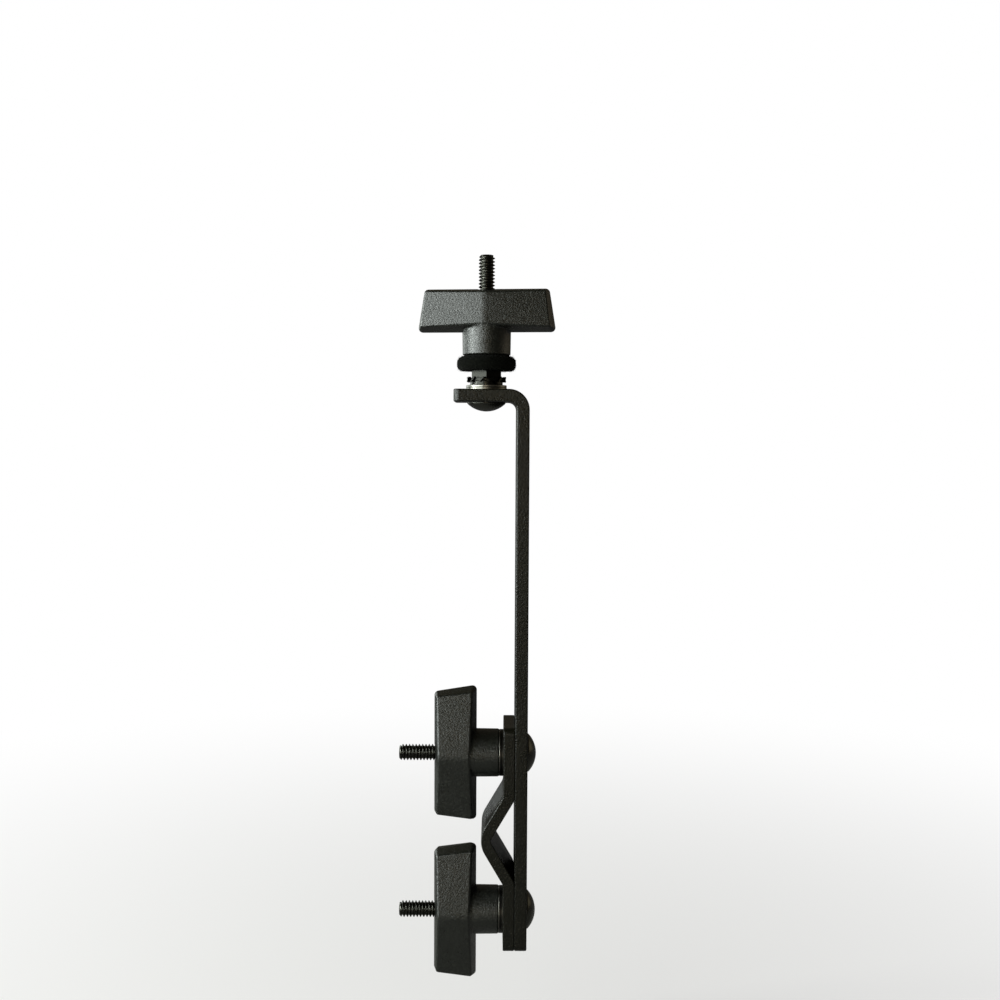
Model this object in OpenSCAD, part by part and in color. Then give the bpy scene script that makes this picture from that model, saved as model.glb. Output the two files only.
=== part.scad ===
// Stand-mounted holder for a row of hanging chimes, in millimetres.
// A flat steel bar is bent to a flange that carries an upright threaded stud.
// At the bar's other end a V jaw, two bolts and two wing knobs clamp a tube.
//
// The origin is on the bar's inner face, midway between the clamp bolts: there
// a clamped tube bears on the bar, with its axis along Y. +Z runs up the bar
// to the stud, and -X points from the bar to the jaw and the clamp knobs.

/* [Bar] */
// Width of the flat bar
bar_w = 25.4; // [22:0.1:32]
// Thickness of the flat bar
bar_t = 4.76; // [4:0.01:6.4]
// Height of the flange's top face over the middle of the clamp
flange_z = 170.6; // [140:0.1:260]
// Length of the flange, from the bar's outer face to the flange's end
flange_len = 28.4; // [26:0.1:40]
// Distance from the flange's end to the stud's axis
stud_inset = 12.2; // [11:0.1:15]
// Inner radius of the bend
bend_r = 3; // [1:0.1:4]
// Radius of the corners of the bar's ends and of the jaw's ends
corner_r = 2.3; // [1:0.05:9]

/* [Jaw] */
// Distance between the axes of the two clamp bolts
bolt_spacing = 61.8; // [58:0.1:80]
// Distance from a clamp bolt's axis to the end of the bar and of the jaw
end_margin = 12.1; // [11:0.1:16]
// Thickness of the jaw's plate
jaw_t = 4.3; // [3:0.1:5]
// Height of the V's mouth on the bar's face
vee_mouth = 31.6; // [26:0.1:34]
// Slope of the V's legs from the bar's face, in degrees
vee_slope = 30.5; // [24:0.5:33]
// Radius inside the tip of the V
vee_tip_in_r = 2; // [1:0.1:4]
// Radius outside the tip of the V
vee_tip_out_r = 10; // [6:0.1:11]
// Radius of the bends where the V leaves the flat ends
vee_root_r = 4; // [2:0.1:5]

/* [Carriage bolts] */
// Radius over the threads
thread_r = 3.1; // [3:0.05:3.2]
// Radius of the shank where it runs inside a nut or a knob
shank_r = 2.76; // [2.5:0.01:2.9]
// Length of a clamp bolt under its head
clamp_bolt_len = 49.2; // [45:0.1:70]
// Length of the stud bolt under its head
stud_bolt_len = 55.4; // [52:0.1:75]
// Radius of the domed head
head_r = 7.3; // [6:0.1:8]
// Height of the domed head
head_h = 3.5; // [2.5:0.1:4.5]
// Height of the head's straight rim
head_rim_h = 0.5; // [0.3:0.1:1]
// Width of the square neck
neck_w = 6.4; // [6:0.1:7]
// Height of the square neck
neck_h = 3.6; // [2.5:0.1:3.9]
// Length of the chamfer on the tip
tip_chamfer = 0.8; // [0.4:0.1:1.2]

/* [Washers, nut and felt] */
// Outer radius of the washers under the clamp knobs
knob_washer_r = 8.9; // [8:0.01:10.5]
// Thickness of the flat washers
washer_t = 1.65; // [1.2:0.05:2.2]
// Radius of the hole in a flat washer
washer_bore_r = 3.9; // [3.5:0.05:4.5]
// Outer radius of the flat washer on the flange
stud_washer_r = 7.7; // [7:0.1:9]
// Outer radius of the split spring washer
spring_washer_r = 6.2; // [5.8:0.1:7]
// Thickness of the split spring washer
spring_washer_t = 1.6; // [1.2:0.1:2.2]
// Radius over the teeth of the tooth washer
tooth_washer_r = 7.5; // [7:0.1:8]
// Thickness of the tooth washer's ring
tooth_washer_t = 1.1; // [0.8:0.1:1.4]
// Number of teeth
tooth_count = 12; // [8:1:16]
// Width of the nut across its flats
nut_flats = 11.1; // [10:0.1:12.7]
// Height of the nut
nut_h = 3; // [2.8:0.1:5.6]
// Radius of the felt washer
felt_r = 11.25; // [9:0.05:14]
// Thickness of the felt washer
felt_t = 5.6; // [4:0.1:8]
// Rounding of the felt washer's rim
felt_rim_r = 2.1; // [0.5:0.1:2.4]

/* [Wing knobs] */
// Length of a knob along its bolt
knob_len = 25; // [22:0.1:32]
// Height of the wings along the bolt, on the parting line
wing_h = 16.3; // [12:0.1:18]
// Span of the wings on their hub side
wing_span = 52.2; // [44:0.1:56]
// Span of the wings on their outer side
wing_span_outer = 48; // [40:0.1:52]
// Thickness of the wings at their tips
wing_tip_t = 11.4; // [8:0.1:14]
// Thickness of the wings at the middle
wing_mid_t = 18.8; // [15:0.1:21]
// How far a tip's faces are drawn in from the parting line on the hub side
wing_draft = 1.4; // [0.6:0.1:2]
// How far a tip's faces are drawn in from the parting line on the outer side
wing_draft_outer = 0.9; // [0.5:0.1:2]
// Radius of the wings' corners on the parting line
wing_corner_r = 1.7; // [0.8:0.1:3]
// Rounding of the wings' edges
wing_edge_r = 0.9; // [0.5:0.1:2]
// Radius of the hub at its end
hub_r = 9.1; // [8.5:0.1:11]
// Turn of the top knob's wings from the bar's broad side, in degrees
stud_knob_turn = -7; // [-90:1:90]
// Radius of the threaded insert
insert_r = 4.75; // [4.4:0.05:5.5]
// Length of the threaded insert
insert_len = 12.7; // [9:0.1:16]

/* [Fits] */
// Play between a square neck and its hole, on each side
neck_play = 0.12; // [0.05:0.01:0.3]
// Radial play between a thread and the bore of a nut or insert
thread_play = 0.1; // [0.02:0.01:0.1]
// Radial play between a bolt and the jaw's or the felt's hole
bolt_play = 0.5; // [0.2:0.05:0.8]

/* [Hidden] */

// Overrun of every cut past the faces that it opens
over = 1;
// Segments of a full circle, and of one bend in an outline
$fn = 96;
bend_steps = 10;
// Segments of the round forms inside a hull
hull_fn = 32;

// Places along the bar
bolt_z = bolt_spacing / 2;
bar_end_z = bolt_z + end_margin;
flange_under_z = flange_z - bar_t;
flange_end_x = bar_t - flange_len;
stud_x = flange_end_x + stud_inset;
bend_outer_r = bend_r + bar_t;
neck_hole_w = neck_w + 2 * neck_play;

// The pieces stacked on the flange, from below
spring_washer_z = flange_z + washer_t;
tooth_washer_z = spring_washer_z + spring_washer_t;
nut_z = tooth_washer_z + tooth_washer_t;
felt_z = nut_z + nut_h;
stud_knob_z = felt_z + felt_t;

// The pieces stacked on the jaw, out from the bar
knob_washer_x = -jaw_t;
clamp_knob_x = knob_washer_x - washer_t;

// The threaded ends that stand free of the knobs
clamp_free_len = clamp_bolt_len - bar_t + clamp_knob_x - knob_len;
stud_free_len = flange_under_z + stud_bolt_len - stud_knob_z - knob_len;

// The V of the jaw: its depth inside, and the plate's thickness measured along X on a leg
vee_depth = vee_mouth / 2 * tan(vee_slope);
vee_leg_t = jaw_t / cos(vee_slope);
vee_outer_z = (vee_depth + vee_leg_t - jaw_t) / tan(vee_slope);

// Spring and tooth washers
spring_gap_w = 1.1;
spring_gap_slope = 25;
spring_gap_turn = -60;
tooth_ring_share = 0.86;
tooth_w_share = 0.6;
tooth_twist = 45;
tooth_turn = 15;
tooth_root = 0.2;

// Nut: its corners are turned down by a cone, and two of its flats face the ends of the flange
nut_chamfer = 0.5;
nut_turn = 30;

// Wing knob: its hub is drafted, and its insert is held by a groove
hub_len = knob_len - wing_h;
hub_edge_r = 0.6;
hub_draft = 0.15;
wing_part_w = 0.6;
knob_bore_play = 0.35;
knob_bore_r = thread_r + knob_bore_play;
insert_bore_r = thread_r + thread_play;
insert_groove_depth = 0.5;
insert_groove_share = 0.2;

function unit(v) = v / norm(v);

// The arc that rounds the corner at p between its neighbours a and b
function corner_arc(a, p, b, r) =
    let (
        u = unit(a - p),
        v = unit(b - p),
        half = acos(u * v) / 2,
        centre = p + unit(u + v) * r / sin(half),
        first = p + u * r / tan(half) - centre,
        last = p + v * r / tan(half) - centre,
        from = atan2(first.y, first.x),
        sweep = atan2(first.x * last.y - first.y * last.x, first * last)
    )
    [for (i = [0:bend_steps]) centre + r * [cos(from + sweep * i / bend_steps), sin(from + sweep * i / bend_steps)]];

// A closed outline whose corners have the given radii, where 0 keeps a corner sharp
function rounded_outline(points, radii) =
    let (n = len(points))
    [
        for (i = [0:n - 1])
            let (a = points[(i + n - 1) % n], p = points[i], b = points[(i + 1) % n])
            each (radii[i] == 0 ? [p] : corner_arc(a, p, b, radii[i]))
    ];

// A plate in the XY plane along +X, w wide, with round corners at its far end
module tongue(length, w, t, r) {
    linear_extrude(t) {
        translate([0, -w / 2]) square([length - r, w]);
        translate([0, r - w / 2]) square([length, w - 2 * r]);
        for (side = [-1, 1]) translate([length - r, side * (w / 2 - r)]) circle(r);
    }
}

// The square hole that keeps a carriage bolt from turning, along Z
module neck_hole() {
    translate([-neck_hole_w / 2, -neck_hole_w / 2, -over]) cube([neck_hole_w, neck_hole_w, bar_t + 2 * over]);
}

// A ring along +Z
module ring(outer_r, inner_r, t) {
    difference() {
        cylinder(r = outer_r, h = t);
        translate([0, 0, -over]) cylinder(r = inner_r, h = t + 2 * over);
    }
}

// Places a piece on a clamp bolt, with the piece's +Z pointing out from the bar
module on_clamp_bolt(x, side) {
    translate([x, 0, side * bolt_z]) rotate([0, -90, 0]) children();
}

// Places a piece on the stud, at a height
module on_stud(z) {
    translate([stud_x, 0, z]) children();
}

// A carriage bolt along +Z, with the seat of its head at z = 0
module carriage_bolt(length, free_len) {
    cap_h = head_h - head_rim_h;
    cap_r = (head_r * head_r + cap_h * cap_h) / (2 * cap_h);
    color("#202022") {
        translate([0, 0, -head_h]) intersection() {
            translate([0, 0, cap_r]) sphere(cap_r);
            cylinder(r = head_r, h = head_h);
        }
        translate([-neck_w / 2, -neck_w / 2, 0]) cube([neck_w, neck_w, neck_h]);
        rotate_extrude()
            polygon([
                [0, 0], [shank_r, 0], [shank_r, length - free_len], [thread_r, length - free_len],
                [thread_r, length - tip_chamfer], [thread_r - tip_chamfer, length], [0, length]
            ]);
    }
}

// A corner of the wings on the parting line
module parting_corner(x, z) {
    translate([x, 0, z]) rotate([90, 0, 0]) cylinder(r = wing_corner_r, h = wing_part_w, center = true, $fn = hull_fn);
}

// The wings: one convex form whose sides slope in from its parting line to each face
module wings() {
    low = hub_len;
    high = knob_len;
    face_low = low + wing_draft + wing_edge_r;
    face_high = high - wing_draft_outer - wing_edge_r;
    face_y = wing_tip_t / 2 - wing_edge_r;
    mid_r = wing_mid_t / 2;
    mid_share = wing_mid_t / wing_tip_t;
    mid_low = low + wing_draft * mid_share;
    mid_high = high - wing_draft_outer * mid_share;
    hull() {
        for (x = [-1, 1]) {
            parting_corner(x * (wing_span / 2 - wing_corner_r), low + wing_corner_r);
            parting_corner(x * (wing_span_outer / 2 - wing_corner_r), high - wing_corner_r);
            for (y = [-1, 1]) {
                translate([x * (wing_span / 2 - wing_draft - wing_edge_r), y * face_y, face_low])
                    sphere(wing_edge_r, $fn = hull_fn);
                translate([x * (wing_span_outer / 2 - wing_draft_outer - wing_edge_r), y * face_y, face_high])
                    sphere(wing_edge_r, $fn = hull_fn);
            }
        }
        rotate_extrude()
            polygon(rounded_outline(
                [[0, mid_low], [mid_r, mid_low], [mid_r, mid_high], [0, mid_high]],
                [0, wing_edge_r, wing_edge_r, 0]
            ));
    }
}

// The hub: a boss that widens a little from its rounded end up into the wings
module hub() {
    top_z = hub_len + wing_draft + 2 * wing_edge_r;
    top_r = min(hub_r + hub_draft, wing_mid_t / 2 - hub_draft);
    rotate_extrude()
        polygon(concat(
            [[0, 0]],
            corner_arc([0, 0], [hub_r, 0], [top_r, top_z], hub_edge_r),
            [[top_r, top_z], [0, top_z]]
        ));
}

// The outside of a threaded insert: two knurled bands with a groove between them
module insert_form() {
    groove_h = insert_len * insert_groove_share;
    groove_z = (insert_len - groove_h) / 2;
    difference() {
        cylinder(r = insert_r, h = insert_len);
        translate([0, 0, groove_z]) ring(insert_r + over, insert_r - insert_groove_depth, groove_h);
    }
}

// A wing knob along +Z, with the end of its hub at z = 0
module wing_knob() {
    color("#2b2c2e") difference() {
        union() {
            wings();
            hub();
        }
        insert_form();
        translate([0, 0, -over]) cylinder(r = knob_bore_r, h = knob_len + 2 * over);
    }
}

// The threaded insert moulded into a wing knob
module knob_insert() {
    color("#b08d57") difference() {
        insert_form();
        translate([0, 0, -over]) cylinder(r = insert_bore_r, h = insert_len + 2 * over);
    }
}

// The bar: an upright, a right-angled bend and a flange
module bracket_arm() {
    color("#2a2a2c") difference() {
        union() {
            translate([0, 0, flange_z - bend_outer_r]) rotate([0, 90, 0])
                tongue(flange_z - bend_outer_r + bar_end_z, bar_w, bar_t, corner_r);
            translate([-bend_r, bar_w / 2, flange_z - bend_outer_r]) rotate([90, 0, 0])
                rotate_extrude(angle = 90) translate([bend_r, 0]) square([bar_t, bar_w]);
            translate([-bend_r, 0, flange_under_z]) mirror([1, 0, 0])
                tongue(-flange_end_x - bend_r, bar_w, bar_t, corner_r);
        }
        on_stud(flange_under_z) neck_hole();
        for (side = [-1, 1]) translate([0, 0, side * bolt_z]) rotate([0, 90, 0]) neck_hole();
    }
}

// The jaw: a plate with rounded ends, pressed to a V between its two bolts
module clamp_jaw() {
    outline = rounded_outline(
        [
            [0, bar_end_z], [-jaw_t, bar_end_z],
            [-jaw_t, vee_outer_z], [-vee_depth - vee_leg_t, 0], [-jaw_t, -vee_outer_z],
            [-jaw_t, -bar_end_z], [0, -bar_end_z],
            [0, -vee_mouth / 2], [-vee_depth, 0], [0, vee_mouth / 2]
        ],
        [0, 0, vee_root_r, vee_tip_out_r, vee_root_r, 0, 0, vee_root_r, vee_tip_in_r, vee_root_r]
    );
    hole_r = thread_r + bolt_play;
    reach = vee_depth + vee_leg_t;
    color("#2a2a2c") difference() {
        intersection() {
            translate([0, bar_w / 2, 0]) rotate([90, 0, 0]) linear_extrude(bar_w) polygon(outline);
            for (side = [-1, 1])
                translate([side < 0 ? over : -reach - over, 0, 0]) rotate([0, side < 0 ? -90 : 90, 0])
                    tongue(bar_end_z, bar_w, reach + 2 * over, corner_r);
        }
        for (side = [-1, 1]) on_clamp_bolt(over, side) cylinder(r = hole_r, h = jaw_t + 2 * over);
    }
}

module stud_bolt() { on_stud(flange_under_z) carriage_bolt(stud_bolt_len, stud_free_len); }

module upper_clamp_bolt() { on_clamp_bolt(bar_t, 1) carriage_bolt(clamp_bolt_len, clamp_free_len); }

module lower_clamp_bolt() { on_clamp_bolt(bar_t, -1) carriage_bolt(clamp_bolt_len, clamp_free_len); }

module stud_flat_washer() {
    color("#3a3a3c") on_stud(flange_z) ring(stud_washer_r, washer_bore_r, washer_t);
}

// A spring washer is a ring cut through by one slanted gap
module stud_spring_washer() {
    color("#303032") on_stud(spring_washer_z) difference() {
        ring(spring_washer_r, thread_r + thread_play, spring_washer_t);
        rotate([0, 0, spring_gap_turn]) translate([spring_washer_r / 2, 0, spring_washer_t / 2])
            rotate([spring_gap_slope, 0, 0])
                cube([spring_washer_r + over, spring_gap_w, 2 * spring_washer_t + over], center = true);
    }
}

// A tooth washer is a ring whose teeth are twisted out of its plane
module stud_tooth_washer() {
    ring_r = tooth_washer_r * tooth_ring_share;
    tooth_len = tooth_washer_r - ring_r + tooth_root;
    tooth_w = 2 * PI * tooth_washer_r / tooth_count * tooth_w_share;
    color("#38383a") on_stud(tooth_washer_z) {
        ring(ring_r, thread_r + thread_play, tooth_washer_t);
        for (i = [0:tooth_count - 1]) rotate([0, 0, tooth_turn + i * 360 / tooth_count])
            translate([tooth_washer_r - tooth_len / 2, 0, tooth_washer_t / 2]) rotate([tooth_twist, 0, 0])
                cube([tooth_len, tooth_w, tooth_washer_t / 2], center = true);
    }
}

module stud_nut() {
    corner_reach = nut_flats / 2 / cos(30);
    cone_h = nut_h + over;
    color("#242426") on_stud(nut_z) difference() {
        intersection() {
            rotate([0, 0, nut_turn]) cylinder(r = corner_reach, h = nut_h, $fn = 6);
            translate([0, 0, nut_h - cone_h])
                cylinder(r1 = corner_reach - nut_chamfer + cone_h, r2 = corner_reach - nut_chamfer, h = cone_h);
        }
        translate([0, 0, -over]) cylinder(r = shank_r + thread_play, h = nut_h + 2 * over);
    }
}

module felt_washer() {
    color("#1a1a1c") on_stud(felt_z) rotate_extrude()
        polygon(rounded_outline(
            [
                [thread_r + bolt_play, 0], [felt_r, 0], [felt_r, felt_t], [thread_r + bolt_play, felt_t]
            ],
            [0, felt_rim_r, felt_rim_r, 0]
        ));
}

module stud_wing_knob() { on_stud(stud_knob_z) rotate([0, 0, stud_knob_turn]) wing_knob(); }

module stud_knob_insert() { on_stud(stud_knob_z) knob_insert(); }

module upper_knob_washer() {
    color("#3a3a3c") on_clamp_bolt(knob_washer_x, 1) ring(knob_washer_r, washer_bore_r, washer_t);
}

module lower_knob_washer() {
    color("#3a3a3c") on_clamp_bolt(knob_washer_x, -1) ring(knob_washer_r, washer_bore_r, washer_t);
}

module upper_wing_knob() { on_clamp_bolt(clamp_knob_x, 1) wing_knob(); }

module upper_knob_insert() { on_clamp_bolt(clamp_knob_x, 1) knob_insert(); }

module lower_wing_knob() { on_clamp_bolt(clamp_knob_x, -1) wing_knob(); }

module lower_knob_insert() { on_clamp_bolt(clamp_knob_x, -1) knob_insert(); }

bracket_arm();
stud_bolt();
upper_clamp_bolt();
lower_clamp_bolt();
stud_flat_washer();
stud_spring_washer();
stud_tooth_washer();
stud_nut();
felt_washer();
stud_wing_knob();
stud_knob_insert();
clamp_jaw();
upper_knob_washer();
lower_knob_washer();
upper_wing_knob();
upper_knob_insert();
lower_wing_knob();
lower_knob_insert();
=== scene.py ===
"""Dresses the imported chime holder: threads, felt, moulded knobs and finishes, with a plain studio around it."""

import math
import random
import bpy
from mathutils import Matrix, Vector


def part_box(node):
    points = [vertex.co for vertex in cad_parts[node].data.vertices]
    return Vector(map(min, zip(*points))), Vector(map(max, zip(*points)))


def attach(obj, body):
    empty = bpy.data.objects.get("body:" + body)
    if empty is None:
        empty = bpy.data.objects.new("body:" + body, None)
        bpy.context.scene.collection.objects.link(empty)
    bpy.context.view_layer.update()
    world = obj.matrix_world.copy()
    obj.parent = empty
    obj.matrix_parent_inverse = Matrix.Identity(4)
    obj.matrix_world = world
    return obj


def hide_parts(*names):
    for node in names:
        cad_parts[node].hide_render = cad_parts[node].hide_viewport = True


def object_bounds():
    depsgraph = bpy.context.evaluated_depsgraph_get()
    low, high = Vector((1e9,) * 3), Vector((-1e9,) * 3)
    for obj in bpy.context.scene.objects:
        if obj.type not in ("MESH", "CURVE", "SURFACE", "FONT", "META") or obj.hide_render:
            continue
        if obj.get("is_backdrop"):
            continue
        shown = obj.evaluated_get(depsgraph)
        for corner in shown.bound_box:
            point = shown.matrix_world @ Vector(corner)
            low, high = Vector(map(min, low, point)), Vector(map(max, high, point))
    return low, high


bl_info = {
    "name": "Chime Holder",
    "version": (1, 0, 0),
    "blender": (4, 5, 0),
    "location": "View3D > Sidebar > Chime Holder",
    "description": "Threaded bolts, felt, knobs and finishes of a stand-mounted chime holder",
    "category": "Object",
}

import bmesh
import bpy
from mathutils import Matrix, Vector, noise

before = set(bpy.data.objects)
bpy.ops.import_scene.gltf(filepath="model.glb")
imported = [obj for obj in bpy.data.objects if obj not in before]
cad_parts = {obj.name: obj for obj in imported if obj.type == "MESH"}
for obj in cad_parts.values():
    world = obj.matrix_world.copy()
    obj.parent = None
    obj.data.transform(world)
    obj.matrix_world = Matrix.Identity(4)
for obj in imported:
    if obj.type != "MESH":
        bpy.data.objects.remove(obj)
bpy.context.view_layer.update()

MM = 0.001
SEED = 11

# Vertices that are closer than this are joined
JOIN_GAP = 0.002 * MM

# Nearly all values of a noise texture lie between these
NOISE_SPAN = {"From Min": 0.3, "From Max": 0.7}

# The rolled thread over one pitch, from crest to crest: share of the pitch, share of the depth below the crest
THREAD_PROFILE = ((0.0, 0.06), (0.05, 0.0), (0.13, 0.0), (0.18, 0.06), (0.3, 0.45), (0.46, 0.93), (0.53, 1.0),
                  (0.65, 1.0), (0.72, 0.93), (0.88, 0.45))

# How far the thread runs into the square neck
THREAD_IN_NECK = 0.3 * MM

# The felt's surface lies this far inside its solid's, which leaves room for the tufts
FELT_INSET = 0.12 * MM

# The camera's place in metres and its angles in degrees, as the photograph was taken
CAMERA_PLACE = (-0.00817, -0.46755, 0.15535)
CAMERA_ANGLES = (86.73, -0.28, -0.24)

# Half the floor's width and how far from the middle it has faded to white, both in metres, and its share of
# white at the middle
FLOOR_HALF = 4.0
FLOOR_FADE = 0.6
FLOOR_GLOW = 0.62


def size_of(node):
    """A CAD node's lowest corner, highest corner and middle at rest."""
    low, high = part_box(node)
    return low, high, (low + high) / 2


def length_prop(name, description, default, lowest=0.0):
    """A length in metres that a user may change."""
    return bpy.props.FloatProperty(name=name, description=description, default=default, min=lowest,
                                   unit="LENGTH", subtype="DISTANCE", precision=5)


def power_prop(name, description, default):
    """A lamp's power in watts that a user may change."""
    return bpy.props.FloatProperty(name=name, description=description, default=default, min=0.0, unit="POWER")


def strength_prop(name, description, default):
    """The strength of a background that a user may change, where 1 is white."""
    return bpy.props.FloatProperty(name=name, description=description, default=default, min=0.0)


def colour_prop(name, description, default):
    """An sRGB hex colour that a user may change."""
    return bpy.props.StringProperty(name=name, description=description, default=default)


class ThreadSettings(bpy.types.PropertyGroup):
    """Sizes of the three carriage bolts that the frame doesn't give."""

    pitch: length_prop("Pitch", "Distance from one turn of the thread to the next", 1.27 * MM, 0.5 * MM)
    crest_radius: length_prop("Crest radius", "Radius over the crests of the thread", 3.1 * MM, 1.0 * MM)
    depth: length_prop("Depth", "Height of the thread from root to crest", 0.74 * MM, 0.1 * MM)
    head_height: length_prop("Head height", "Height of the domed head", 3.5 * MM, 1.0 * MM)
    head_rim: length_prop("Head rim", "Height of the head's straight rim", 0.5 * MM, 0.1 * MM)
    neck_width: length_prop("Neck width", "Width of the square neck", 6.4 * MM, 1.0 * MM)
    neck_height: length_prop("Neck height", "Height of the square neck", 3.6 * MM, 1.0 * MM)
    tip_chamfer: length_prop("Tip chamfer", "Length of the chamfer on the tip", 0.8 * MM)


class FeltSettings(bpy.types.PropertyGroup):
    """Form and hair of the felt washer."""

    bore_radius: length_prop("Bore radius", "Radius of the hole for the stud", 3.6 * MM, 1.0 * MM)
    rim_radius: length_prop("Rim radius", "Rounding of the pressed rim", 2.1 * MM, 0.1 * MM)
    rim_sag: length_prop("Rim sag", "How far the open rim hangs under the pressed middle", 0.45 * MM)
    hair_length: length_prop("Hair length", "Longest loose fibre on the rim", 1.1 * MM)
    hair_radius: length_prop("Hair radius", "Radius of a fibre, coarser than wool so that it shows", 0.03 * MM)
    hair_count: bpy.props.IntProperty(name="Hairs", description="Number of loose fibres", default=2600, min=0)


class EdgeSettings(bpy.types.PropertyGroup):
    """Rounding of the edges of the metal pieces."""

    bar_edge: length_prop("Bar edge", "Rounding of the rolled bar's long edges", 0.5 * MM)
    plate_edge: length_prop("Plate edge", "Rounding of the jaw's sheared edges", 0.35 * MM)
    washer_edge: length_prop("Washer edge", "Rounding of the washers' and the nut's edges", 0.16 * MM)
    insert_edge: length_prop("Insert edge", "Rounding of the turned inserts' edges", 0.15 * MM)


class FinishSettings(bpy.types.PropertyGroup):
    """Colours of the finishes, as sRGB hex values."""

    powder_coat: colour_prop("Powder coat", "Black powder coat of the bar and the jaw", "#090904")
    powder_coat_worn: colour_prop("Powder coat, worn", "Powder coat where the grain is rubbed", "#1b1a12")
    nylon: colour_prop("Nylon", "Black glass-filled nylon of the knobs", "#080a06")
    nylon_worn: colour_prop("Nylon, handled", "Nylon where fingers polish the spark texture", "#171a13")
    black_zinc: colour_prop("Black zinc", "Black zinc of the bolts", "#4a4a45")
    oiled_zinc: colour_prop("Oiled black zinc", "Black zinc of the nut and the washers", "#252523")
    # Bright steel of the washers' rims: partly rubbed wear, partly a painted highlight where the rims catch the
    # light
    rim_steel_and_highlight: colour_prop("Bare steel", "Steel that shows where a punched rim is rubbed", "#7e7c76")
    brass: colour_prop("Brass", "Turned brass of the threaded inserts", "#b8975a")
    wool: colour_prop("Wool", "Black wool felt", "#040503")
    wool_pale: colour_prop("Wool, pale tufts", "Tufts that catch the light", "#1e1f19")


class StageSettings(bpy.types.PropertyGroup):
    """Floor, lamps and camera."""

    floor_drop: length_prop("Floor drop", "Height of the lowest piece over the floor", 22 * MM)
    floor_colour: colour_prop("Floor", "Matt pale floor", "#c8c6c0")
    lens: bpy.props.FloatProperty(name="Lens", description="Focal length on a 36 mm sensor, in mm",
                                  default=44.11, min=10.0)
    key_power: power_prop("Window lamp", "Power of the window-like lamp", 34.0)
    front_power: power_prop("Front lamp", "Power of the weak lamp in front", 1.9)
    strip_power: power_prop("Side strip", "Power of the narrow lamp at the left", 6.5)
    right_power: power_prop("Right lamp", "Power of the weak lamp at the right", 1.1)
    back_power: power_prop("Back lamp", "Power of the soft lamp behind at the left", 5.0)
    daylight: colour_prop("Daylight", "Light of the window, the side strip and the back lamp", "#f7fffb")
    room_colour: colour_prop("Room", "Warm light that the room's walls throw back", "#fff0d0")
    room_light: strength_prop("Room light", "Soft light from all round", 0.06)
    backdrop_gloss: strength_prop("Backdrop in gloss", "How strongly gloss and metal show the backdrop", 0.09)


class HolderSettings(bpy.types.PropertyGroup):
    """All sizes and colours of the holder."""

    thread: bpy.props.PointerProperty(type=ThreadSettings)
    felt: bpy.props.PointerProperty(type=FeltSettings)
    edges: bpy.props.PointerProperty(type=EdgeSettings)
    finish: bpy.props.PointerProperty(type=FinishSettings)
    stage: bpy.props.PointerProperty(type=StageSettings)


def linear(hex_colour):
    """Turn an sRGB hex value into linear red, green, blue and alpha."""
    channels = [int(hex_colour.lstrip("#")[i:i + 2], 16) / 255 for i in (0, 2, 4)]
    return [c / 12.92 if c <= 0.04045 else ((c + 0.055) / 1.055) ** 2.4 for c in channels] + [1.0]


def add_node(tree, kind, values=None, links=None, **settings):
    """Add one shader node with its settings, input values and links."""
    made = tree.nodes.new(kind)
    for name, value in settings.items():
        setattr(made, name, value)
    for socket, value in (values or {}).items():
        made.inputs[socket].default_value = value
    for socket, source in (links or {}).items():
        tree.links.new(source, made.inputs[socket])
    return made


def new_material(name):
    """An empty node material, its tree, and the place on the object that its patterns start from."""
    material = bpy.data.materials.new(name)
    material.use_nodes = True
    tree = material.node_tree
    tree.nodes.clear()
    return material, tree, add_node(tree, "ShaderNodeTexCoord").outputs["Object"]


def powder_coated_steel(finish):
    """Black powder coat, sprayed and baked on flat bar: a satin black skin whose melted grains leave a fine
    pebbled gloss, with slow waves in the film and paler specks where the grain is rubbed."""
    material, tree, place = new_material("powder_coated_steel")
    # Melted powder grains are about 0.15 mm, and are drawn at 0.7 mm so that they show in the render
    grain = add_node(tree, "ShaderNodeTexNoise", {"Scale": 1 / (0.7 * MM), "Detail": 2.0, "Roughness": 0.6},
                     {"Vector": place})
    # The film's orange peel is 2 to 3 mm from crest to crest
    peel = add_node(tree, "ShaderNodeTexNoise", {"Scale": 1 / (2.6 * MM), "Detail": 1.0, "Roughness": 0.5},
                    {"Vector": place})
    # The bake leaves clouds of softer gloss about 14 mm across
    cloud = add_node(tree, "ShaderNodeTexNoise", {"Scale": 1 / (14 * MM), "Detail": 3.0, "Roughness": 0.55},
                     {"Vector": place})
    specks = add_node(tree, "ShaderNodeMapRange", {"From Min": 0.56, "From Max": 0.74, "To Max": 0.75},
                      {"Value": grain.outputs["Fac"]})
    colour = add_node(tree, "ShaderNodeMix",
                      {"A": linear(finish.powder_coat), "B": linear(finish.powder_coat_worn)},
                      {"Factor": specks.outputs["Result"]}, data_type="RGBA")
    rough = add_node(tree, "ShaderNodeMapRange", {**NOISE_SPAN, "To Min": 0.25, "To Max": 0.36},
                     {"Value": cloud.outputs["Fac"]})
    waves = add_node(tree, "ShaderNodeBump", {"Strength": 0.35, "Distance": 0.05 * MM},
                     {"Height": peel.outputs["Fac"]})
    bumps = add_node(tree, "ShaderNodeBump", {"Strength": 1.0, "Distance": 0.2 * MM},
                     {"Height": grain.outputs["Fac"], "Normal": waves.outputs["Normal"]})
    shader = add_node(tree, "ShaderNodeBsdfPrincipled", {"IOR": 1.5, "Specular IOR Level": 0.3},
                      {"Base Color": colour.outputs["Result"], "Roughness": rough.outputs["Result"],
                       "Normal": bumps.outputs["Normal"]})
    add_node(tree, "ShaderNodeOutputMaterial", None, {"Surface": shader.outputs["BSDF"]})
    return material


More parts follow.
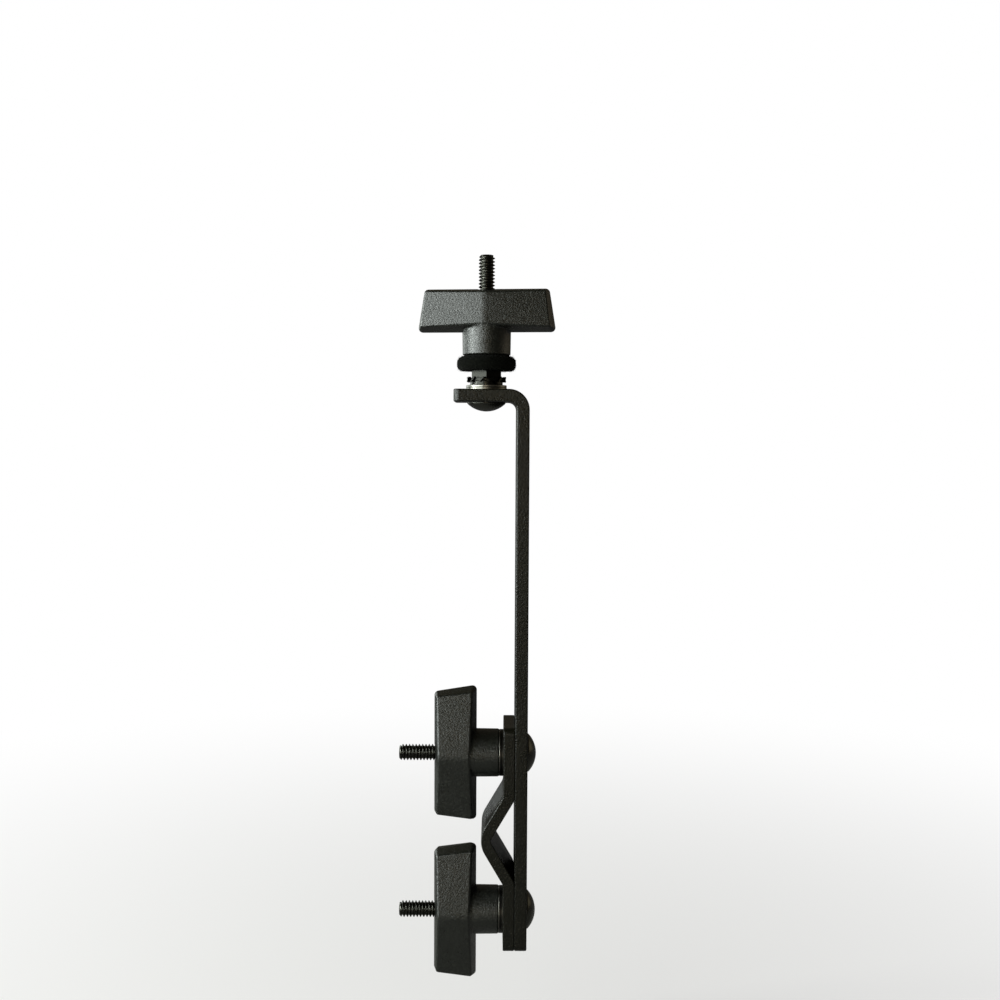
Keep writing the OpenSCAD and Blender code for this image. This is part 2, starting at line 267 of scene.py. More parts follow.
def moulded_nylon(finish):
    """Black glass-filled nylon, injection moulded in a spark-eroded tool: an even matt grain that breaks up the
    light, slightly polished in patches where fingers turn the wings."""
    material, tree, place = new_material("moulded_nylon")
    # Spark texture is about 0.1 mm, and is drawn at 0.75 mm so that it shows in the render
    grain = add_node(tree, "ShaderNodeTexNoise", {"Scale": 1 / (0.75 * MM), "Detail": 3.0, "Roughness": 0.7},
                     {"Vector": place})
    # Fingers polish patches about 7 mm across
    touch = add_node(tree, "ShaderNodeTexNoise", {"Scale": 1 / (7 * MM), "Detail": 3.0, "Roughness": 0.6},
                     {"Vector": place})
    specks = add_node(tree, "ShaderNodeMapRange", {"From Min": 0.5, "From Max": 0.7},
                      {"Value": grain.outputs["Fac"]})
    colour = add_node(tree, "ShaderNodeMix", {"A": linear(finish.nylon), "B": linear(finish.nylon_worn)},
                      {"Factor": specks.outputs["Result"]}, data_type="RGBA")
    polish = add_node(tree, "ShaderNodeMapRange", {**NOISE_SPAN, "To Min": -0.05, "To Max": 0.05},
                      {"Value": touch.outputs["Fac"]})
    pits = add_node(tree, "ShaderNodeMapRange", {**NOISE_SPAN, "To Min": 0.27, "To Max": 0.46},
                    {"Value": grain.outputs["Fac"]})
    rough = add_node(tree, "ShaderNodeMath", None, {0: pits.outputs["Result"], 1: polish.outputs["Result"]},
                     operation="ADD")
    bumps = add_node(tree, "ShaderNodeBump", {"Strength": 1.0, "Distance": 0.2 * MM},
                     {"Height": grain.outputs["Fac"]})
    shader = add_node(tree, "ShaderNodeBsdfPrincipled", {"IOR": 1.53, "Specular IOR Level": 0.55},
                      {"Base Color": colour.outputs["Result"], "Roughness": rough.outputs["Value"],
                       "Normal": bumps.outputs["Normal"]})
    add_node(tree, "ShaderNodeOutputMaterial", None, {"Surface": shader.outputs["BSDF"]})
    return material


def black_zinc_steel(name, hex_colour):
    """Cold-formed steel, black zinc plated and passivated: a thin dark metal skin with a soft gloss that is
    cloudy from the bath."""
    material, tree, place = new_material(name)
    # The bath leaves clouds about 3.5 mm across
    cloud = add_node(tree, "ShaderNodeTexNoise", {"Scale": 1 / (3.5 * MM), "Detail": 4.0, "Roughness": 0.6},
                     {"Vector": place})
    # Plated crystals are far finer than 0.3 mm, and are drawn that coarse so that they show in the render
    fine = add_node(tree, "ShaderNodeTexNoise", {"Scale": 1 / (0.3 * MM), "Detail": 2.0}, {"Vector": place})
    rough = add_node(tree, "ShaderNodeMapRange", {**NOISE_SPAN, "To Min": 0.2, "To Max": 0.36},
                     {"Value": cloud.outputs["Fac"]})
    bumps = add_node(tree, "ShaderNodeBump", {"Strength": 0.12, "Distance": 0.02 * MM},
                     {"Height": fine.outputs["Fac"]})
    shade = add_node(tree, "ShaderNodeMapRange", {"To Min": 0.8, "To Max": 1.15},
                     {"Value": cloud.outputs["Fac"]})
    colour = add_node(tree, "ShaderNodeMix", {"Factor": 1.0, "A": linear(hex_colour)},
                      {"B": shade.outputs["Result"]}, data_type="RGBA", blend_type="MULTIPLY")
    shader = add_node(tree, "ShaderNodeBsdfPrincipled", {"Metallic": 1.0},
                      {"Base Color": colour.outputs["Result"], "Roughness": rough.outputs["Result"],
                       "Normal": bumps.outputs["Normal"]})
    add_node(tree, "ShaderNodeOutputMaterial", None, {"Surface": shader.outputs["BSDF"]})
    return material


def rim_wear_and_highlight_steel(finish, name, axis, middle, rim_radius, plain_half):
    """Black zinc on a punched washer whose rim is partly rubbed to bare steel and partly painted as a highlight:
    dark faces, and a bright broken line, wear and painted highlight together, where the rim is farther than
    plain_half from the washer's middle plane.
    axis is the one that the washer turns about, 0 on a clamp bolt and 2 on the stud."""
    material, tree, place = new_material(name)
    along = [float(i == axis) for i in range(3)]
    flat = [float(i != axis) for i in range(3)]
    centred = add_node(tree, "ShaderNodeVectorMath", {1: [-c for c in middle]}, {0: place}, operation="ADD")
    spoke = add_node(tree, "ShaderNodeVectorMath", {1: flat}, {0: centred.outputs["Vector"]},
                     operation="MULTIPLY")
    radius = add_node(tree, "ShaderNodeVectorMath", None, {0: spoke.outputs["Vector"]}, operation="LENGTH")
    # Rub marks are 0.6 mm long, and make the bright line, rubbed steel and painted highlight, up to 0.35 mm wider
    # or narrower
    marks = add_node(tree, "ShaderNodeTexNoise", {"Scale": 1 / (0.6 * MM), "Detail": 3.0, "Roughness": 0.6},
                     {"Vector": place})
    ragged = 0.35 * MM
    broken = add_node(tree, "ShaderNodeMapRange", {"To Min": -ragged, "To Max": ragged},
                      {"Value": marks.outputs["Fac"]})
    reach = add_node(tree, "ShaderNodeMath", None, {0: radius.outputs["Value"], 1: broken.outputs["Result"]},
                     operation="ADD")
    # The rim mask paints bright steel along the washer's edge, as wear and as a painted highlight
    rim = add_node(tree, "ShaderNodeMapRange",
                   {"From Min": rim_radius - ragged, "From Max": rim_radius - 0.02 * MM},
                   {"Value": reach.outputs["Value"]})
    height = add_node(tree, "ShaderNodeVectorMath", {1: along}, {0: centred.outputs["Vector"]},
                      operation="DOT_PRODUCT")
    from_middle = add_node(tree, "ShaderNodeMath", None, {0: height.outputs["Value"]}, operation="ABSOLUTE")
    corner = add_node(tree, "ShaderNodeMapRange",
                      {"From Min": plain_half, "From Max": plain_half + 0.25 * MM},
                      {"Value": from_middle.outputs["Value"]})
    worn_and_highlit = add_node(tree, "ShaderNodeMath", None, {0: rim.outputs["Result"], 1: corner.outputs["Result"]},
                      operation="MULTIPLY")
    colour = add_node(tree, "ShaderNodeMix", {"A": linear(finish.oiled_zinc), "B": linear(finish.rim_steel_and_highlight)},
                      {"Factor": worn_and_highlit.outputs["Value"]}, data_type="RGBA")
    bumps = add_node(tree, "ShaderNodeBump", {"Strength": 0.3, "Distance": 0.02 * MM},
                     {"Height": marks.outputs["Fac"]})
    shader = add_node(tree, "ShaderNodeBsdfPrincipled", {"Metallic": 1.0, "Roughness": 0.36},
                      {"Base Color": colour.outputs["Result"], "Normal": bumps.outputs["Normal"]})
    add_node(tree, "ShaderNodeOutputMaterial", None, {"Surface": shader.outputs["BSDF"]})
    return material


def turned_brass(finish):
    """Free-cutting brass turned on a lathe: a warm bright metal with fine tool marks, dulled in patches."""
    material, tree, place = new_material("turned_brass")
    # The turning tool advances 0.2 mm a turn
    marks = add_node(tree, "ShaderNodeTexNoise", {"Scale": 1 / (0.2 * MM), "Detail": 1.0}, {"Vector": place})
    bumps = add_node(tree, "ShaderNodeBump", {"Strength": 0.2, "Distance": 0.01 * MM},
                     {"Height": marks.outputs["Fac"]})
    # Tarnish starts in patches about 2 mm across
    tarnish = add_node(tree, "ShaderNodeTexNoise", {"Scale": 1 / (2 * MM), "Detail": 3.0}, {"Vector": place})
    rough = add_node(tree, "ShaderNodeMapRange", {"To Min": 0.2, "To Max": 0.42},
                     {"Value": tarnish.outputs["Fac"]})
    shader = add_node(tree, "ShaderNodeBsdfPrincipled",
                      {"Metallic": 1.0, "Base Color": linear(finish.brass)},
                      {"Roughness": rough.outputs["Result"], "Normal": bumps.outputs["Normal"]})
    add_node(tree, "ShaderNodeOutputMaterial", None, {"Surface": shader.outputs["BSDF"]})
    return material


def pressed_wool(finish):
    """Black wool felt, pressed and punched: a deep matt black of matted fibres, with a faint dusty sheen."""
    material, tree, place = new_material("pressed_wool")
    # Wool fibres are 0.03 mm thick, and lie in tufts of about 0.35 mm, which are what shows
    tufts = add_node(tree, "ShaderNodeTexNoise",
                     {"Scale": 1 / (0.35 * MM), "Detail": 4.0, "Roughness": 0.75, "Distortion": 1.2},
                     {"Vector": place})
    pale = add_node(tree, "ShaderNodeMapRange", {"From Min": 0.56, "From Max": 0.7},
                    {"Value": tufts.outputs["Fac"]})
    colour = add_node(tree, "ShaderNodeMix", {"A": linear(finish.wool), "B": linear(finish.wool_pale)},
                      {"Factor": pale.outputs["Result"]}, data_type="RGBA")
    bumps = add_node(tree, "ShaderNodeBump", {"Strength": 0.9, "Distance": 0.16 * MM},
                     {"Height": tufts.outputs["Fac"]})
    shader = add_node(tree, "ShaderNodeBsdfPrincipled",
                      {"Roughness": 0.95, "IOR": 1.45, "Specular IOR Level": 0.06, "Sheen Weight": 0.01,
                       "Sheen Roughness": 0.6},
                      {"Base Color": colour.outputs["Result"], "Normal": bumps.outputs["Normal"]})
    add_node(tree, "ShaderNodeOutputMaterial", None, {"Surface": shader.outputs["BSDF"]})
    return material


def new_object(name, data):
    """A new object in the scene."""
    made = bpy.data.objects.new(name, data)
    bpy.context.scene.collection.objects.link(made)
    return made


def finish_node(node, material):
    """Give a carried-over CAD node its material."""
    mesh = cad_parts[node].data
    mesh.materials.clear()
    mesh.materials.append(material)


def join_facets(piece):
    """Join the facets of a CAD piece where they meet, with a modifier."""
    join = piece.modifiers.new("join_faces", "WELD")
    join.merge_threshold = JOIN_GAP


def even_shading(piece):
    """Let the large faces of a CAD piece set the shading at its edges, with a modifier."""
    shade = piece.modifiers.new("even_shading", "WEIGHTED_NORMAL")
    shade.weight = 80


def round_edges(node, width, segments=3):
    """Round the edges of a carried-over CAD node, with modifiers that leave its mesh alone."""
    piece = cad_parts[node]
    join_facets(piece)
    flat = piece.modifiers.new("plain_faces", "DECIMATE")
    flat.decimate_type = "DISSOLVE"
    flat.angle_limit = math.radians(0.3)
    bevel = piece.modifiers.new("rounded_edges", "BEVEL")
    bevel.width = width
    bevel.segments = segments
    bevel.limit_method = "ANGLE"
    bevel.angle_limit = math.radians(35.0)
    even_shading(piece)


def link_mesh(name, builder, material, smooth_angle):
    """Turn a finished bmesh into a named piece with its material, smooth but for edges over the angle."""
    bmesh.ops.recalc_face_normals(builder, faces=builder.faces)
    for face in builder.faces:
        face.smooth = True
    for edge in builder.edges:
        edge.smooth = edge.calc_face_angle(0.0) < math.radians(smooth_angle)
    mesh = bpy.data.meshes.new(name)
    builder.to_mesh(mesh)
    builder.free()
    mesh.materials.append(material)
    return new_object(name, mesh)


def ring_of(builder, radius, height, count):
    """One round of vertices about Z."""
    turns = [math.tau * i / count for i in range(count)]
    return [builder.verts.new((radius * math.cos(turn), radius * math.sin(turn), height)) for turn in turns]


def band(builder, low, high):
    """The faces between two rounds of vertices."""
    for i in range(len(low)):
        j = (i + 1) % len(low)
        builder.faces.new((low[i], low[j], high[j], high[i]))


def close_ends(builder, first, last):
    """One face over the first round of vertices and one over the last."""
    builder.faces.new(list(reversed(first)))
    builder.faces.new(last)


def threaded_shank(builder, thread, start, end):
    """A right-hand thread from start to end along Z, with a chamfered tip."""
    count = 40
    turns = math.ceil((end - start) / thread.pitch) + 1
    core = thread.crest_radius - thread.depth
    rows = []
    for turn in range(-1, turns):
        for share, depth in THREAD_PROFILE:
            row = []
            for i in range(count):
                height = start + thread.pitch * (turn + share + i / count)
                clipped = min(max(height, start), end)
                chamfer = max(0.0, clipped - (end - thread.tip_chamfer))
                radius = thread.crest_radius - max(depth * thread.depth, chamfer)
                if clipped != height:
                    radius = min(radius, core)
                angle = math.tau * i / count
                row.append(builder.verts.new((radius * math.cos(angle), radius * math.sin(angle), clipped)))
            rows.append(row)
    # The last vertex of a row joins the first of the row that is one pitch farther on
    per_turn = len(THREAD_PROFILE)
    for r in range(len(rows) - 1):
        low, high = rows[r], rows[r + 1]
        for i in range(count - 1):
            builder.faces.new((low[i], low[i + 1], high[i + 1], high[i]))
        if r + per_turn + 1 < len(rows):
            builder.faces.new((low[-1], rows[r + per_turn][0], rows[r + per_turn + 1][0], high[-1]))
    # The rows past each end have shrunk to one round there. They are joined, and both holes are closed
    bmesh.ops.remove_doubles(builder, verts=builder.verts, dist=JOIN_GAP)
    bmesh.ops.dissolve_degenerate(builder, edges=builder.edges, dist=JOIN_GAP / 2)
    rims = [edge for edge in builder.edges if edge.is_boundary]
    bmesh.ops.holes_fill(builder, edges=rims, sides=0)


def domed_head(builder, thread, radius):
    """The low domed head of a carriage bolt, under Z = 0, with a softly rounded rim."""
    cap = thread.head_height - thread.head_rim
    sphere = (radius * radius + cap * cap) / (2 * cap)
    widest = math.asin(radius / sphere)
    outline = [(radius * 0.98, 0.0), (radius, -0.02 * radius), (radius, -thread.head_rim * 0.6)]
    steps = 14
    for i in range(steps):
        # The dome starts just inside the rim, which rounds the corner between them
        angle = widest * (1 - i / steps) * (0.985 if i == 0 else 1.0)
        outline.append((sphere * math.sin(angle), -thread.head_height + sphere * (1 - math.cos(angle))))
    rounds = [ring_of(builder, r, z, 72) for r, z in outline]
    for low, high in zip(rounds, rounds[1:]):
        band(builder, low, high)
    close_ends(builder, rounds[0], rounds[-1])


def square_neck(builder, thread):
    """The square neck on the head, slightly tapered and sunk 0.1 mm into the head."""
    half = thread.neck_width / 2
    taper = 0.97
    corners = [(half, half), (-half, half), (-half, -half), (half, -half)]
    low = [builder.verts.new((x, y, -0.1 * MM)) for x, y in corners]
    high = [builder.verts.new((x * taper, y * taper, thread.neck_height)) for x, y in corners]
    close_ends(builder, low, high)
    band(builder, low, high)


class HOLDER_OT_bolts(bpy.types.Operator):
    """Make the three carriage bolts with rolled threads"""

    bl_idname = "holder.bolts"
    bl_label = "Threaded bolts"

    def execute(self, context):
        settings = context.scene.chime_holder
        material = black_zinc_steel("black_zinc_steel", settings.finish.black_zinc)
        self.bolt("stud_bolt", "stud_carriage_bolt", 2, settings.thread, material)
        self.bolt("upper_clamp_bolt", "upper_carriage_bolt", 0, settings.thread, material)
        self.bolt("lower_clamp_bolt", "lower_carriage_bolt", 0, settings.thread, material)
        return {"FINISHED"}

    def bolt(self, node, name, axis, thread, material):
        """One bolt in its node's place. The stud points up along axis 2, a clamp bolt to the left along 0."""
        low, high, middle = size_of(node)
        length = (high - low)[axis] - thread.head_height
        builder = bmesh.new()
        threaded_shank(builder, thread, thread.neck_height - THREAD_IN_NECK, length)
        domed_head(builder, thread, (high - low)[1] / 2)
        square_neck(builder, thread)
        if axis == 2:
            place = Matrix.Translation((middle.x, middle.y, low.z + thread.head_height))
        else:
            turned_out = Matrix.Rotation(-math.pi / 2, 4, "Y")
            place = Matrix.Translation((high.x - thread.head_height, middle.y, middle.z)) @ turned_out
        builder.transform(place)
        piece = link_mesh(name, builder, material, 50.0)
        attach(piece, "arm")
        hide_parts(node)


class HOLDER_OT_bar_and_jaw(bpy.types.Operator):
    """Round the edges of the bar and the jaw, and powder coat them"""

    bl_idname = "holder.bar_and_jaw"
    bl_label = "Bar and jaw"

    def execute(self, context):
        settings = context.scene.chime_holder
        material = powder_coated_steel(settings.finish)
        edges = settings.edges
        for node, width in (("bracket_arm", edges.bar_edge), ("clamp_jaw", edges.plate_edge)):
            finish_node(node, material)
            round_edges(node, width)
        return {"FINISHED"}


class HOLDER_OT_washers_and_nut(bpy.types.Operator):
    """Finish the flat, spring and tooth washers and the nut"""

    bl_idname = "holder.washers_and_nut"
    bl_label = "Washers and nut"

    def execute(self, context):
        settings = context.scene.chime_holder
        width = settings.edges.washer_edge
        dark = black_zinc_steel("oiled_black_zinc_steel", settings.finish.oiled_zinc)
        for node in ("stud_spring_washer", "stud_tooth_washer", "stud_nut"):
            finish_node(node, dark)
            round_edges(node, width, segments=2)
        # The stud's washer has the bright rim, rubbed steel and painted highlight, over most of its rim, the
        # clamp's washers only at their corners
        for node, axis, plain_half in (
            ("stud_flat_washer", 2, 0.05 * MM),
            ("upper_knob_washer", 0, 0.45 * MM),
            ("lower_knob_washer", 0, 0.45 * MM),
        ):
            low, high, middle = size_of(node)
            rim = (high - low)[1] / 2
            worn_and_highlit = rim_wear_and_highlight_steel(settings.finish, f"rubbed_{node}", axis, middle, rim, plain_half)
            finish_node(node, worn_and_highlit)
            round_edges(node, width, segments=2)
        return {"FINISHED"}


class HOLDER_OT_felt(bpy.types.Operator):
    """Make the felt washer with its loose fibres"""

    bl_idname = "holder.felt"
    bl_label = "Felt washer"

    def execute(self, context):
        felt = context.scene.chime_holder.felt
        material = pressed_wool(context.scene.chime_holder.finish)
        low, high, middle = size_of("felt_washer")
        thickness = high.z - low.z
        radius = (high - low).x / 2
        builder = bmesh.new()
        rounds = [ring_of(builder, r, z, 160) for r, z in self.outline(felt, radius, thickness)]
        for k, under in enumerate(rounds):
            band(builder, under, rounds[(k + 1) % len(rounds)])
        for vertex in builder.verts:
            self.matted(vertex, felt, radius, thickness)
        self.fibres(builder, felt, radius, thickness)
        builder.transform(Matrix.Translation((middle.x, middle.y, low.z)))
        piece = link_mesh("felt_pad", builder, material, 80.0)
        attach(piece, "felt")
        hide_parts("felt_washer")
        return {"FINISHED"}

    def outline(self, felt, radius, thickness):
        """The felt's section: flat underside, round rim, flat top and bore, in steps of about 0.3 mm."""
        rim = felt.rim_radius
        outer = radius - FELT_INSET
        top = thickness - FELT_INSET
        flat_steps, arc_steps, side_steps, bore_steps = 18, 9, 4, 8
        points = []
        for i in range(flat_steps):
            points.append((felt.bore_radius + (outer - rim - felt.bore_radius) * i / flat_steps, FELT_INSET))
        for i in range(arc_steps + 1):
            angle = -math.pi / 2 + math.pi / 2 * i / arc_steps
            points.append((outer - rim + rim * math.cos(angle), FELT_INSET + rim + rim * math.sin(angle)))
        for i in range(1, side_steps):
            points.append((outer, FELT_INSET + rim + (thickness - 2 * FELT_INSET - 2 * rim) * i / side_steps))
        for i in range(arc_steps + 1):
            angle = math.pi / 2 * i / arc_steps
            points.append((outer - rim + rim * math.cos(angle), top - rim + rim * math.sin(angle)))
        for i in range(1, flat_steps + 1):
            points.append((outer - rim + (felt.bore_radius - outer + rim) * i / flat_steps, top))
        for i in range(1, bore_steps):
            points.append((felt.bore_radius, top - (thickness - 2 * FELT_INSET) * i / bore_steps))
        return points

    def matted(self, vertex, felt, radius, thickness):
        """Push one surface point in or out, as matted tufts do, and let the rim sag, but not where the knob and
        the nut press. The sums are in millimetres."""
        spot = vertex.co / MM
        out = math.hypot(spot.x, spot.y)
        pressed = (radius - felt.rim_radius * 1.4) / MM
        rim_share = min(1.0, max(0.0, (out - pressed) / 1.5))
        # Tufts about 1.1 mm across, with finer ones of 0.4 mm in them
        tuft = noise.noise(spot * 0.9) * 0.16 + noise.noise(spot * 2.6) * 0.07
        outward = Vector((spot.x / out, spot.y / out, 0.0))
        middle = thickness / 2 / MM
        lift = Vector((0.0, 0.0, (spot.z - middle) / middle))
        vertex.co += (outward * 0.8 + lift * 0.5) * tuft * rim_share * MM
        vertex.co.z -= felt.rim_sag * rim_share

    def fibres(self, builder, felt, radius, thickness):
        """Loose wool fibres on the open rim, each rooted just under the surface."""
        dice = random.Random(SEED)
        rim = felt.rim_radius
        for _ in range(felt.hair_count):
            around = dice.uniform(0, math.tau)
            tilt = dice.uniform(-math.pi / 2, math.pi / 2)
            straight = thickness - 2 * rim
            height = rim + (straight if tilt > 0 else 0.0) + rim * math.sin(tilt) * 0.94
            # Roots near the rim's middle are spread over its straight part
            if abs(tilt) < 0.5:
                height = dice.uniform(rim * 0.7, thickness - rim * 0.7)
            out = radius - 0.14 * MM - rim + rim * math.cos(tilt) * 0.98
            spoke = Vector((math.cos(around), math.sin(around), 0.0))
            side = Vector((-spoke.y, spoke.x, 0.0))
            root = spoke * out + Vector((0, 0, height - felt.rim_sag))
            outward = (spoke * math.cos(tilt) + Vector((0, 0, math.sin(tilt)))).normalized()
            slant = (side * dice.uniform(-1, 1) + Vector((0, 0, 1)) * dice.uniform(-1, 1)).normalized()
            length = felt.hair_length * dice.uniform(0.25, 1.0)
            stand = dice.uniform(0.05, 0.5)
            curl = dice.uniform(-0.5, 0.5)
            self.strand(builder, felt, root, outward, slant, length, stand, curl, thickness)

    def strand(self, builder, felt, root, outward, slant, length, stand, curl, thickness):
        """One thin three-sided strand from its root, lying over and curling, and no higher than the felt."""
        steps = 4
        across = outward.cross(slant).normalized()
        margin = 0.05 * MM
        rows = []
        for k in range(steps + 1):
            share = k / steps
            centre = root + slant * length * share * (1 - 0.2 * share)
            lift = outward * length * stand * math.sin(share * math.pi * 0.7)
            centre += lift + across * curl * length * share * share
            centre.z = min(max(centre.z, margin - felt.rim_sag), thickness - margin)
            thick = felt.hair_radius * (1 - 0.6 * share)
            turns = [math.tau * s / 3 for s in range(3)]
            sides = [outward * math.cos(turn) + across * math.sin(turn) for turn in turns]
            rows.append([builder.verts.new(centre + side * thick) for side in sides])
        for low, high in zip(rows, rows[1:]):
            band(builder, low, high)
        close_ends(builder, rows[0], rows[-1])


class HOLDER_OT_knobs(bpy.types.Operator):
    """Finish the three wing knobs and their brass inserts"""

    bl_idname = "holder.knobs"
    bl_label = "Wing knobs"

    def execute(self, context):
        settings = context.scene.chime_holder
        nylon = moulded_nylon(settings.finish)
        brass = turned_brass(settings.finish)
        for place in ("stud", "upper", "lower"):
            knob = f"{place}_wing_knob"
            insert = f"{place}_knob_insert"
            finish_node(knob, nylon)
            join_facets(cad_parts[knob])
            even_shading(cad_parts[knob])
            finish_node(insert, brass)
            round_edges(insert, settings.edges.insert_edge, segments=2)
        return {"FINISHED"}


class HOLDER_OT_stage(bpy.types.Operator):
    """Set the floor, the lamps and the camera"""

    bl_idname = "holder.stage"
    bl_label = "Studio"

    def execute(self, context):
        stage = context.scene.chime_holder.stage
        self.floor(stage)
        self.lamps(stage)
        self.room(stage)
        self.camera(stage)
        context.scene.view_settings.view_transform = "Standard"
        return {"FINISHED"}

    def floor(self, stage):
        """A wide pale floor that fades to the white background far from the object."""
        material, tree, place = new_material("pale_floor_paint")
        # Rolled paint is a little uneven, in patches about 30 mm across
        mottle = add_node(tree, "ShaderNodeTexNoise", {"Scale": 1 / (30 * MM), "Detail": 2.0},
                          {"Vector": place})
        tone = add_node(tree, "ShaderNodeMapRange", {"To Min": 0.985, "To Max": 1.0},
                        {"Value": mottle.outputs["Fac"]})
        colour = add_node(tree, "ShaderNodeMix", {"Factor": 1.0, "A": linear(stage.floor_colour)},
                          {"B": tone.outputs["Result"]}, data_type="RGBA", blend_type="MULTIPLY")
        paint = add_node(tree, "ShaderNodeBsdfPrincipled", {"Roughness": 0.9, "Specular IOR Level": 0.1},
                         {"Base Color": colour.outputs["Result"]})
        reach = add_node(tree, "ShaderNodeVectorMath", None, {0: place}, operation="LENGTH")
        far = add_node(tree, "ShaderNodeMapRange",
                       {"From Min": 0.0, "From Max": FLOOR_FADE, "To Min": FLOOR_GLOW},
                       {"Value": reach.outputs["Value"]}, interpolation_type="SMOOTHSTEP")
        seen, mirrored = self.ray_kinds(tree)
        either = add_node(tree, "ShaderNodeMath", None, {0: seen, 1: mirrored}, operation="MAXIMUM")
        fade = add_node(tree, "ShaderNodeMath", None, {0: far.outputs["Result"], 1: either.outputs["Value"]},
                        operation="MULTIPLY")
        level = add_node(tree, "ShaderNodeMapRange", {"To Min": stage.backdrop_gloss, "To Max": 1.0},
                         {"Value": seen})
        white = add_node(tree, "ShaderNodeEmission", {"Color": (1, 1, 1, 1)},
                         {"Strength": level.outputs["Result"]})
        mixed = add_node(tree, "ShaderNodeMixShader", None,
                         {0: fade.outputs["Value"], 1: paint.outputs["BSDF"], 2: white.outputs["Emission"]})
        add_node(tree, "ShaderNodeOutputMaterial", None, {"Surface": mixed.outputs["Shader"]})
        corners = [(-FLOOR_HALF, -FLOOR_HALF, 0), (FLOOR_HALF, -FLOOR_HALF, 0),
                   (FLOOR_HALF, FLOOR_HALF, 0), (-FLOOR_HALF, FLOOR_HALF, 0)]
        mesh = bpy.data.meshes.new("floor")
        mesh.from_pydata(corners, [], [(0, 1, 2, 3)])
        mesh.materials.append(material)
        floor = new_object("floor", mesh)
        floor.location = (0, 0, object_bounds()[0][2] - stage.floor_drop)
        floor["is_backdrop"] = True

    def ray_kinds(self, tree):
        """1 for camera rays, and 1 for the glossy and transmission rays that mirror the background."""
        path = add_node(tree, "ShaderNodeLightPath")
        mirrored = add_node(tree, "ShaderNodeMath", None,
                            {0: path.outputs["Is Glossy Ray"], 1: path.outputs["Is Transmission Ray"]},
                            operation="MAXIMUM")
        return path.outputs["Is Camera Ray"], mirrored.outputs["Value"]

    def lamps(self, stage):
        """A long low window at the left and in front with a strip beside the object, and three weak soft lamps,
        in front, behind at the left and at the right."""
        # Name, place, direction, width and height in metres, power, colour
        for name, spot, facing, width, height, power, colour in (
            ("key_window", (-0.9, -1.0, 0.3), (1.0, 0.0, 0.0), 1.9, 0.65, stage.key_power, stage.daylight),
            ("side_strip", (-0.98, -0.18, 0.3), (0.98, 0.18, -0.15), 0.14, 0.5, stage.strip_power,
             stage.daylight),
            ("front_lamp", (-0.2, -1.6, 0.12), (0.2, 1.6, -0.1), 0.45, 0.3, stage.front_power,
             stage.room_colour),
            ("back_lamp", (-0.95, 0.95, 0.3), (0.95, -0.95, -0.15), 0.8, 0.7, stage.back_power,
             stage.daylight),
            ("right_lamp", (1.25, 0.35, 0.36), (-1.25, -0.35, -0.26), 0.9, 0.7, stage.right_power,
             stage.room_colour),
        ):
            data = bpy.data.lights.new(name, "AREA")
            data.shape = "RECTANGLE"
            data.size = width
            data.size_y = height
            data.energy = power
            data.color = linear(colour)[:3]
            lamp = new_object(name, data)
            lamp.location = spot
            lamp.rotation_euler = (-Vector(facing)).to_track_quat("Z", "Y").to_euler()

    def room(self, stage):
        """White all round to the eye, and a dim and slightly warm light to everything else. Gloss shows the
        backdrop behind the object and the dim room in front."""
        world = bpy.data.worlds.new("studio_room")
        world.use_nodes = True
        bpy.context.scene.world = world
        tree = world.node_tree
        tree.nodes.clear()
        seen, mirrored = self.ray_kinds(tree)
        place = add_node(tree, "ShaderNodeTexCoord").outputs["Generated"]
        axes = add_node(tree, "ShaderNodeSeparateXYZ", None, {"Vector": place})
        behind = add_node(tree, "ShaderNodeMapRange",
                          {"From Min": 0.0, "From Max": 0.5, "To Min": stage.room_light,
                           "To Max": stage.backdrop_gloss},
                          {"Value": axes.outputs["Y"]}, interpolation_type="SMOOTHSTEP")
        level = add_node(tree, "ShaderNodeMix", {"A": stage.room_light},
                         {"Factor": mirrored, "B": behind.outputs["Result"]}, data_type="FLOAT")
        strength = add_node(tree, "ShaderNodeMix", {"B": 1.0}, {"Factor": seen, "A": level.outputs["Result"]},
                            data_type="FLOAT")
        tint = add_node(tree, "ShaderNodeMix", {"A": linear(stage.room_colour), "B": (1, 1, 1, 1)},
                        {"Factor": seen}, data_type="RGBA")
        light = add_node(tree, "ShaderNodeBackground", None,
                         {"Color": tint.outputs["Result"], "Strength": strength.outputs["Result"]})
        add_node(tree, "ShaderNodeOutputWorld", None, {"Surface": light.outputs["Background"]})

    def camera(self, stage):
        """The photograph's place and angle."""
        data = bpy.data.cameras.new("photo_camera")
        data.lens = stage.lens
        data.sensor_width = 36.0
        data.clip_start = 0.01
        data.clip_end = 20.0
        camera = new_object("photo_camera", data)
        camera.location = CAMERA_PLACE
        camera.rotation_euler = [math.radians(angle) for angle in CAMERA_ANGLES]
        bpy.context.scene.camera = camera


class HOLDER_PT_panel(bpy.types.Panel):
    """Shows the holder's settings and the buttons for its steps in the 3D view's sidebar"""

    bl_label = "Chime Holder"
    bl_idname = "HOLDER_PT_panel"
    bl_space_type = "VIEW_3D"
    bl_region_type = "UI"
    bl_category = "Chime Holder"

    def draw(self, context):
        settings = context.scene.chime_holder
        for title, group, operators in (
            ("Bolts", settings.thread, ("holder.bolts",)),
            ("Felt", settings.felt, ("holder.felt",)),
            ("Edges", settings.edges, ("holder.bar_and_jaw", "holder.washers_and_nut")),
            ("Finishes", settings.finish, ("holder.knobs",)),
            ("Studio", settings.stage, ("holder.stage",)),
        ):
            box = self.layout.box()
            box.label(text=title)
            for name in group.__annotations__:
                box.prop(group, name)
            for operator in operators:
                box.operator(operator)


CLASSES = (
    ThreadSettings, FeltSettings, EdgeSettings, FinishSettings, StageSettings, HolderSettings,
    HOLDER_OT_bar_and_jaw, HOLDER_OT_bolts, HOLDER_OT_washers_and_nut, HOLDER_OT_felt, HOLDER_OT_knobs,
    HOLDER_OT_stage, HOLDER_PT_panel,
)


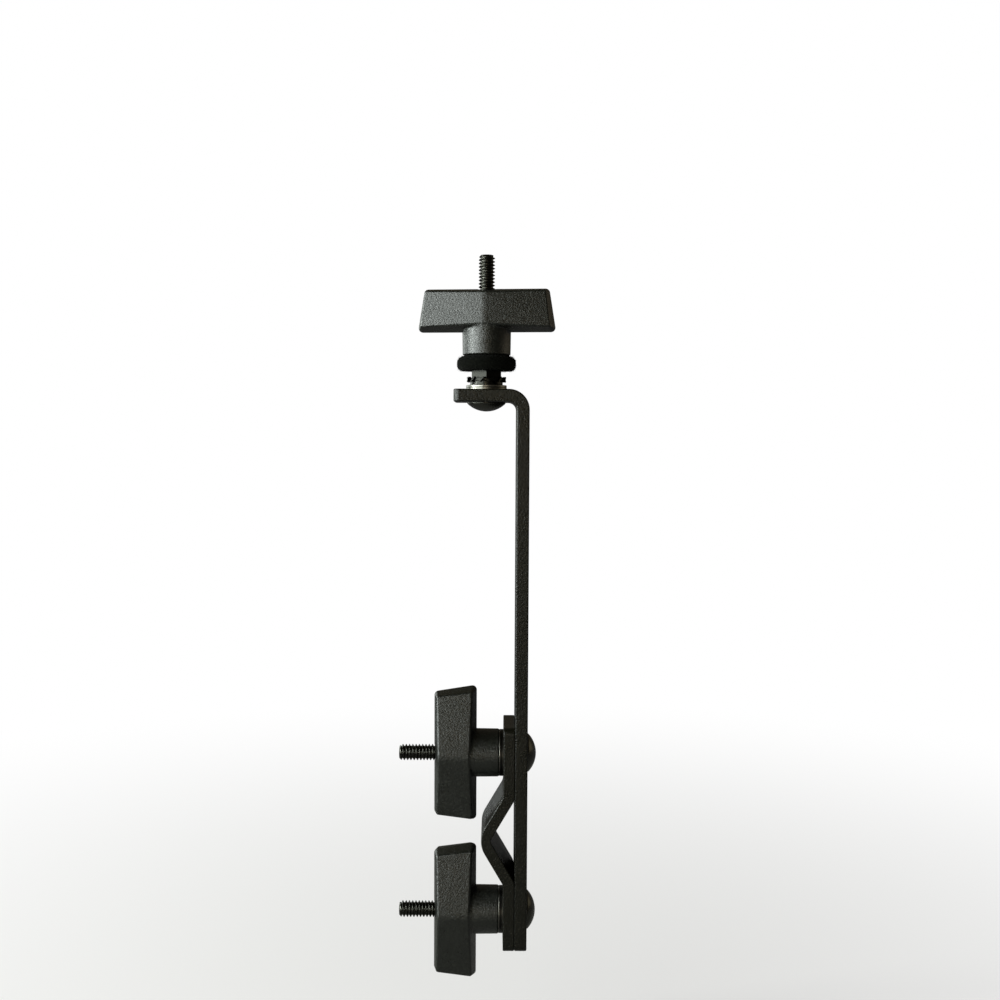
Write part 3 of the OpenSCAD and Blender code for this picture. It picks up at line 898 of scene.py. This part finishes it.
def register():
    for each in CLASSES:
        bpy.utils.register_class(each)
    bpy.types.Scene.chime_holder = bpy.props.PointerProperty(type=HolderSettings)


def unregister():
    del bpy.types.Scene.chime_holder
    for each in reversed(CLASSES):
        bpy.utils.unregister_class(each)


def main():
    """Make every piece in order."""
    register()
    bpy.ops.holder.bar_and_jaw()
    bpy.ops.holder.bolts()
    bpy.ops.holder.washers_and_nut()
    bpy.ops.holder.felt()
    bpy.ops.holder.knobs()
    bpy.ops.holder.stage()
    bpy.context.view_layer.update()


if __name__ == "__main__":
    main()
